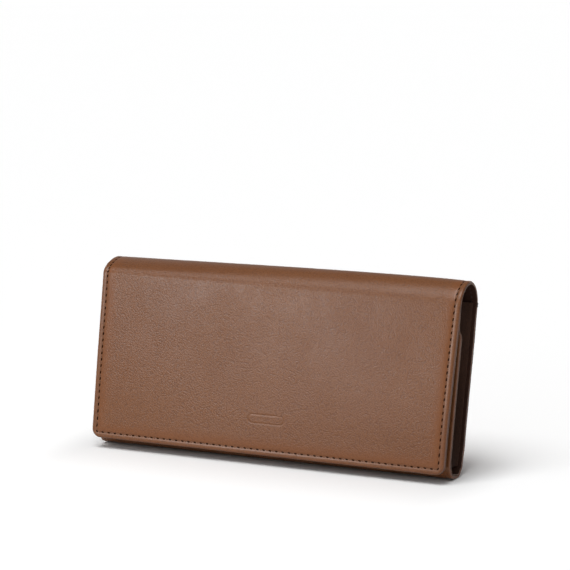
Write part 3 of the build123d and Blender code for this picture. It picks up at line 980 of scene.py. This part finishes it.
edgeIn = 1.5 * mm
seamParts = []
for name, low, high in (
    ("seamA", (seamLow.x, seamLow.z), (seamLow.x + edgeIn, seamHigh.z)),
    ("seamB", (seamHigh.x - edgeIn, seamLow.z), (seamHigh.x, seamHigh.z)),
    ("seamC", (seamLow.x + edgeIn, seamLow.z), (seamHigh.x - edgeIn, seamLow.z + edgeIn)),
):
    seamParts.append(plate(name, low, high, seamLow.y, seamHigh.y, (0.3 * mm,) * 4, leathers["darkPaint"],
                           0.12 * mm))
piece = joined("coinSeam", seamParts)
fasten(piece, "coin_pocket", "coin_pocket_seam")

# the binding is a folded strip with a round top, an inverted U in section
bindPoints = []
yMiddle, halfY = (bindLow.y + bindHigh.y) / 2, (bindHigh.y - bindLow.y) / 2
lipZ = bindLow.z
capZ = bindHigh.z - 0.5 * mm
section = [(bindLow.y, lipZ), (bindLow.y, capZ)]
arc = [deg(a) for a in range(15, 180, 15)]
section += [(yMiddle - halfY * math.cos(a), capZ + 0.5 * mm * math.sin(a)) for a in arc]
section += [(bindHigh.y, capZ), (bindHigh.y, bindHigh.z - 1.0 * mm), (frontHigh.y, bindHigh.z - 1.0 * mm),
            (frontHigh.y, lipZ)]
xs = [bindLow.x, bindLow.x + 0.2 * mm, *spread(bindLow.x, bindHigh.x, 4 * mm)[1:-1]]
xs += [bindHigh.x - 0.2 * mm, bindHigh.x]
centreZ = (lipZ + bindHigh.z) / 2
for k, x in enumerate(xs):
    shrink = 0.9 if k in (0, len(xs) - 1) else 1.0
    for y, z in section:
        bindPoints.append((x, yMiddle + (y - yMiddle) * shrink, centreZ + (z - centreZ) * shrink))
piece = newObject("coinBinding", bindPoints, tubeFaces(len(xs), len(section)), leathers["saddle"], 40, False)
storeEdge(piece, [20 * mm] * len(bindPoints))
fasten(piece, "coin_pocket", "coin_pocket_binding")

print("zip")


def tapeMaterial():
    mat, n, shader = newMaterial("wovenTape", (0.035, 0.017, 0.011), 0.75, sheen=0.3)
    waves = {"Vector": n.where(), "Scale": 520.0, "Distortion": 0.4}
    weave, warp = [n.add("ShaderNodeTexWave", waves, bands_direction=d).outputs["Fac"] for d in ("Z", "X")]
    height = n.math("MULTIPLY", weave, warp)
    base = n.mix(height, (0.018, 0.009, 0.006, 1), (0.05, 0.026, 0.017, 1))
    n.put(shader, {"Normal": n.bump(height, 0.7, 0.12 * mm), "Base Color": base})
    return mat


def metalMaterial(name, colour, roughness):
    mat, n, shader = newMaterial(name, colour, roughness, 1.0)
    smudge = n.noise(n.where(), 420.0, 4.0, 0.6).outputs["Fac"]
    base = n.mix(n.range(smudge, 0.45, 0.8), (*colour, 1), (*[c * 0.75 for c in colour], 1))
    gloss = n.range(smudge, 0.25, 0.75, roughness - 0.07, roughness + 0.14)
    n.put(shader, {"Roughness": gloss, "Base Color": base})
    return mat


tapeLook = tapeMaterial()
brass = metalMaterial("polishedBrass", (0.78, 0.60, 0.33), 0.26)
for node, name in (("zip_tape_upper", "tapeUpper"), ("zip_tape_lower", "tapeLower")):
    low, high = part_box(node)
    tapePiece = boxPlate(name, low, high, (0.6 * mm,) * 4, tapeLook, 0.14 * mm)
    beadZ = low.z if node == "zip_tape_upper" else high.z
    beadRun = [(low.x + 0.4 * mm, 0.1 * mm, 0), (low.x + 0.8 * mm, 0.34 * mm, 0),
               (high.x - 0.8 * mm, 0.34 * mm, 0), (high.x - 0.4 * mm, 0.1 * mm, 0)]
    bead = spindle(name + "Bead", beadRun, 10, 1.0)
    inward = 0.3 * mm if node == "zip_tape_upper" else -0.3 * mm
    bead.data.transform(Matrix.Translation((0, (low.y + high.y) / 2, beadZ + inward)))
    bead.data.materials.append(tapeLook)
    templates.remove(bead)
    bead.hide_render = False
    whole = joined(name + "Whole", [tapePiece, bead])
    fasten(whole, "coin_pocket", node)

teethLow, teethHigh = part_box("zip_teeth_upper")
lowerLow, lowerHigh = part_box("zip_teeth_lower")
stopsLow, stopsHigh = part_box("zip_stops")
toothPitch = 1.5 * mm
toothDepth = teethHigh.y - teethLow.y
zipZ = (teethLow.z + lowerHigh.z) / 2
reach = teethHigh.z - zipZ


# metal tooth: legs over the tape, a waist, and a head that reaches just past the middle
def toothTemplate():
    half, deep = 0.44 * mm, toothDepth / 2
    stations = [(0.2 * mm, 0.6, 0.66), (0.3 * mm, 0.95, 0.9), (0.55 * mm, 1.0, 1.0), (0.85 * mm, 0.78, 0.95),
                (reach * 0.8, 1.0, 1.0), (reach * 0.98, 0.8, 0.86)]
    shape = [(-1, -0.6), (-0.6, -1), (0.6, -1), (1, -0.6), (1, 0.6), (0.6, 1), (-0.6, 1), (-1, 0.6)]
    points = [(x, u * half * a, v * deep * b) for x, a, b in stations for u, v in shape]
    return templateMesh("toothPiece", points, tubeFaces(len(stations), len(shape)))


tooth = toothTemplate()
toothY = (teethLow.y + teethHigh.y) / 2
for node, low, high, side, name in (("zip_teeth_upper", teethLow, teethHigh, 1, "teethUpper"),
                                    ("zip_teeth_lower", lowerLow, lowerHigh, -1, "teethLower")):
    count = round((high.x - low.x - 0.9 * mm) / toothPitch) + 1
    xs = [low.x + 0.45 * mm + i * toothPitch for i in range(count)]
    spots = [((x, toothY, zipZ), (0, -1, 0), (0, 0, side)) for x in xs]
    piece = setPieces(name, spots, tooth, brass, 0.0, 0.0, False)
    fasten(piece, "coin_pocket", node)
stopParts = []
stopLength = 1.6 * mm
for k, x in enumerate((stopsLow.x, stopsHigh.x - stopLength)):
    stopParts.append(plate(f"stop{k}", (x, stopsLow.z), (x + stopLength, stopsHigh.z), stopsLow.y,
                           stopsHigh.y, (0.35 * mm,) * 4, brass, 0.2 * mm))
piece = joined("zipStops", stopParts)
fasten(piece, "coin_pocket", "zip_stops")

# the slider: two shaped plates with turned rims, a bridge between them and the pull's post
sliderLow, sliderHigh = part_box("zip_slider")
sliderX = (sliderLow.x + sliderHigh.x) / 2
sliderPlate = 0.7 * mm
frontPlate = toothY - toothDepth / 2 - 0.3 * mm
backPlate = toothY + toothDepth / 2 + 0.3 * mm


def sliderOutline(shrink=0.0):
    half, nose, tail = (sliderHigh.x - sliderLow.x) / 2 - shrink, 2.2 * mm - shrink, 3.3 * mm - shrink
    spots = [(-half, -tail * 0.72), (-half * 0.8, -tail), (0, -tail * 0.96), (half * 0.7, -nose),
             (half, -nose * 0.55), (half, nose * 0.55), (half * 0.7, nose), (0, tail * 0.96),
             (-half * 0.8, tail), (-half, tail * 0.72), (-half * 0.62, 0)]
    return [(sliderX + x, zipZ + z) for x, z in spots]


# points of a circle round the slider's pin
def circle(radius, sides):
    turns = [2 * math.pi * i / sides for i in range(sides)]
    return [(sliderX + radius * math.cos(a), zipZ + radius * math.sin(a)) for a in turns]


sliderFront = frontPlate - sliderPlate
sliderParts = []
for name, points, near, far, rounding in (
    ("sliderPlate0", sliderOutline(), sliderFront, frontPlate, 0.22 * mm),
    ("sliderPlate1", sliderOutline(), backPlate, backPlate + sliderPlate, 0.22 * mm),
    ("sliderRaised", sliderOutline(1.0 * mm), sliderFront - 0.18 * mm, sliderFront + 0.1 * mm, 0.16 * mm),
    ("sliderPost", circle(0.8 * mm, 24), sliderLow.y + 0.1 * mm, frontPlate, 0.15 * mm),
    ("sliderHead", circle(1.5 * mm, 24), sliderLow.y, sliderLow.y + 0.35 * mm, 0.15 * mm),
):
    sliderParts.append(newObject(name, *plateParts(points, near, far, rounding), brass, 40, False))
bridgeX, bridgeZ, bridgeSink = 2.2 * mm, 0.14 * mm, 0.05 * mm
low, high = (sliderX - bridgeX, zipZ - bridgeZ), (sliderX + bridgeX, zipZ + bridgeZ)
sliderParts.append(plate("sliderBridge", low, high, frontPlate - bridgeSink, backPlate + bridgeSink,
                         (0.1 * mm,) * 4, brass, 0.05 * mm))
piece = joined("zipSlider", sliderParts)
fasten(piece, "zip_slider", "zip_slider")

# the pull: a ring plate round the post, a waist and a clamp on the leather tab
pullLow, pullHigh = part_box("zip_puller")
tabLow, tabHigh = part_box("puller_tab")
ringSides = 32
ringRadius, ringHole = (pullHigh.x - pullLow.x) / 2, 1.05 * mm
ringPoints, ringFaces = [], []
bevel = 0.12 * mm
levels = [(bevel, pullLow.y), (0, pullLow.y + bevel), (0, pullHigh.y - bevel), (bevel, pullHigh.y)]


def pullOutline(i, shrink):
    angle = 2 * math.pi * i / ringSides
    c, s = math.cos(angle), math.sin(angle)
    radius = ringRadius - shrink
    if s >= 0:
        return radius * c, radius * s
    drop = (zipZ - pullLow.z) - ringRadius
    pinch = 1 - 0.22 * math.sin(math.pi * min(1, -s * 1.2))
    return radius * c * pinch, radius * s - drop * ease(-s * 1.15)


for shrink, y in levels:
    edgeSpots = [pullOutline(i, shrink) for i in range(ringSides)]
    ringPoints += [(sliderX + x, y, zipZ + z) for x, z in edgeSpots]
for y in (pullHigh.y, pullLow.y):
    ringPoints += [(x, y, z) for x, z in circle(ringHole, ringSides)]
rings = len(levels) + 2
for k in range(rings):
    nxt = (k + 1) % rings
    for i in range(ringSides):
        j = (i + 1) % ringSides
        ringFaces.append((k * ringSides + i, k * ringSides + j, nxt * ringSides + j, nxt * ringSides + i))
piece = newObject("pullPlate", ringPoints, ringFaces, brass, 40, False)
fasten(piece, "zip_puller", "zip_puller")
tabCorners = (1.3 * mm, 1.3 * mm, 0.5 * mm, 0.5 * mm)
tab = boxPlate("pullTabLeather", tabLow, tabHigh, tabCorners, leathers["inner"], 0.25 * mm)
spots = []
for i in range(5):
    for x in (tabLow.x + 0.8 * mm, tabHigh.x - 0.8 * mm):
        spots.append(((x, tabLow.y, tabLow.z + 1.8 * mm + i * 2.6 * mm), (0, -1, 0), (0, 0, 1)))
tabSeam = setPieces("tabSeam", spots, thread, darkThread, 0.0, 0.03, False)
piece = joined("pullTab", [tab, tabSeam])
fasten(piece, "zip_puller", "puller_tab")

# back-tacks of thread where the side seams meet the top of the gussets
print("back-tacks")
tackRun = [(-0.75 * mm, 0.12 * mm, 0), (-0.6 * mm, 0.34 * mm, 0), (0.6 * mm, 0.34 * mm, 0),
           (0.75 * mm, 0.12 * mm, 0)]
tackPiece = spindle("tackPiece", tackRun, 8, 0.9)
tackLow, tackPitch = 83.2 * mm, 0.75 * mm
tackSpots = []
for side in (-1, 1):
    for k in range(3):
        place = (side * (halfLength - 0.05 * mm), backFace - 0.85 * mm, tackLow + k * tackPitch)
        tackSpots.append((place, (side, 0, 0), (0, 1, 0)))
piece = setPieces("backTacks", tackSpots, tackPiece, darkThread, 0.1, 0.1)
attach(piece, "body")

for obj in templates:
    bpy.data.objects.remove(obj)

# settling of all the soft leather
print("settling")
for obj in softPieces:
    count = len(obj.data.vertices)
    co = np.zeros(count * 3)
    obj.data.vertices.foreach_get("co", co)
    obj.data.vertices.foreach_set("co", settled(co.reshape(-1, 3)).ravel())
    obj.data.update()

# floor, lights and camera
studio = {
    "floorGlow": 0.16, "paintedShadowReach": 60 * mm, "glowAside": 2.2, "floorSize": 9.0,
    "sky": 0.58, "zenith": 0.22, "skyHeights": (0.05, 0.9),
    "glossPower": 0.6, "glossSize": (0.12, 0.06), "keyPower": 0.22, "keySize": (0.14, 0.10),
    "keyTurn": 0.45, "keyRise": 0.11, "keyDistance": 0.42, "aimHeight": 80 * mm,
    "sunPower": 2.5, "sunWidth": 0.7, "sunFrom": (-0.15, -1.0, 1.5),
}
view = {"turn": 0.43493, "dip": 0.02388, "roll": 0.0762, "lens": 227.368421,
        "place": (741.78 * mm, -1598.25 * mm, 127.97 * mm)}
forward = Vector((-math.sin(view["turn"]) * math.cos(view["dip"]),
                  math.cos(view["turn"]) * math.cos(view["dip"]), -math.sin(view["dip"])))
right = forward.cross(Vector((0, 0, 1))).normalized()
up = right.cross(forward)
rolledRight = right * math.cos(view["roll"]) + up * math.sin(view["roll"])
rolledUp = -right * math.sin(view["roll"]) + up * math.cos(view["roll"])
lean = math.atan2(rolledRight.z, rolledRight.y)
print("floor and lights")
floorUp = Vector((0, -math.sin(lean), math.cos(lean)))

cameraData = bpy.data.cameras.new("camera")
cameraData.sensor_width = 36
cameraData.lens = view["lens"]
camera = linked("camera", cameraData)
basis = Matrix((rolledRight, rolledUp, -forward)).transposed().to_4x4()
camera.matrix_world = Matrix.Translation(view["place"]) @ basis
cameraData.clip_end = 20
bpy.context.scene.camera = camera

touchHeight = min(v.co.dot(floorUp) for obj in softPieces for v in obj.data.vertices)
floorMesh = bpy.data.meshes.new("floor")
reach = studio["floorSize"]
corners = [(-reach, -reach, 0), (reach, -reach, 0), (reach, reach, 0), (-reach, reach, 0)]
floorMesh.from_pydata(corners, [], [(0, 1, 2, 3)])
floor = linked("floor", floorMesh)
floorTurn = Matrix((Vector((1, 0, 0)), floorUp.cross(Vector((1, 0, 0))), floorUp)).transposed().to_4x4()
floor.matrix_world = Matrix.Translation(floorUp * touchHeight) @ floorTurn
# the floor glows so that it stays white far off; the glow fades to nothing towards the wallet's footprint,
# which paints a contact shadow on the floor round the wallet
floorMaterial, n, shader = newMaterial("floorPaper", (0.8, 0.8, 0.8), 0.85)
spot = n.add("ShaderNodeSeparateXYZ", {0: n.where()})
aside = n.math("MAXIMUM", n.math("SUBTRACT", n.math("ABSOLUTE", spot.outputs["X"]), halfLength), 0.0)
aside = n.math("MULTIPLY", aside, studio["glowAside"])
before = n.math("ABSOLUTE", n.math("SUBTRACT", spot.outputs["Y"], (panelFace + backFace) / 2))
before = n.math("MAXIMUM", n.math("SUBTRACT", before, (backFace - panelFace) / 2), 0.0)
away = n.math("SQRT", n.math("ADD", n.math("MULTIPLY", aside, aside), n.math("MULTIPLY", before, before)))
n.put(shader, {"Emission Strength": n.range(away, 0.0, studio["paintedShadowReach"], 0.0, studio["floorGlow"]),
               "Emission Color": (1, 1, 1, 1), "Specular IOR Level": 0.0})
floorMesh.materials.append(floorMaterial)

world = bpy.data.worlds.new("studio")
bpy.context.scene.world = world
world.use_nodes = True
sky = Nodes(world.node_tree)
direction = sky.add("ShaderNodeTexCoord").outputs["Generated"]
height = sky.add("ShaderNodeSeparateXYZ", {0: direction}).outputs["Z"]
glow = sky.range(height, *studio["skyHeights"], studio["sky"], studio["zenith"])
sky.put(world.node_tree.nodes["Background"], {"Strength": glow, "Color": (1, 1, 1, 1)})


def aim(lamp, place, target):
    lamp.location = place
    lamp.rotation_euler = (Vector(target) - Vector(place)).to_track_quat("-Z", "Y").to_euler()


def areaLight(name, place, target, size, sizeY, power):
    data = bpy.data.lights.new(name, "AREA")
    data.shape = "RECTANGLE"
    data.size = size
    data.size_y = sizeY
    data.energy = power
    lamp = linked(name, data)
    aim(lamp, place, target)
    return lamp


wallet = Vector((0, 0, studio["aimHeight"]))
turn, rise = studio["keyTurn"], studio["keyRise"]
keyFrom = Vector((-math.sin(turn) * math.cos(rise), -math.cos(turn) * math.cos(rise), math.sin(rise)))
keyAt = wallet + studio["keyDistance"] * keyFrom
areaLight("keyLight", keyAt, wallet, *studio["keySize"], studio["keyPower"])
glossLight = areaLight("glossLight", keyAt, wallet, *studio["glossSize"], studio["glossPower"])
glossLight.visible_diffuse = False
sunData = bpy.data.lights.new("sun", "SUN")
sunData.energy = studio["sunPower"]
sunData.angle = studio["sunWidth"]
sun = linked("sun", sunData)
aim(sun, studio["sunFrom"], (0, 0, 0))

bpy.context.scene.view_settings.view_transform = "Standard"
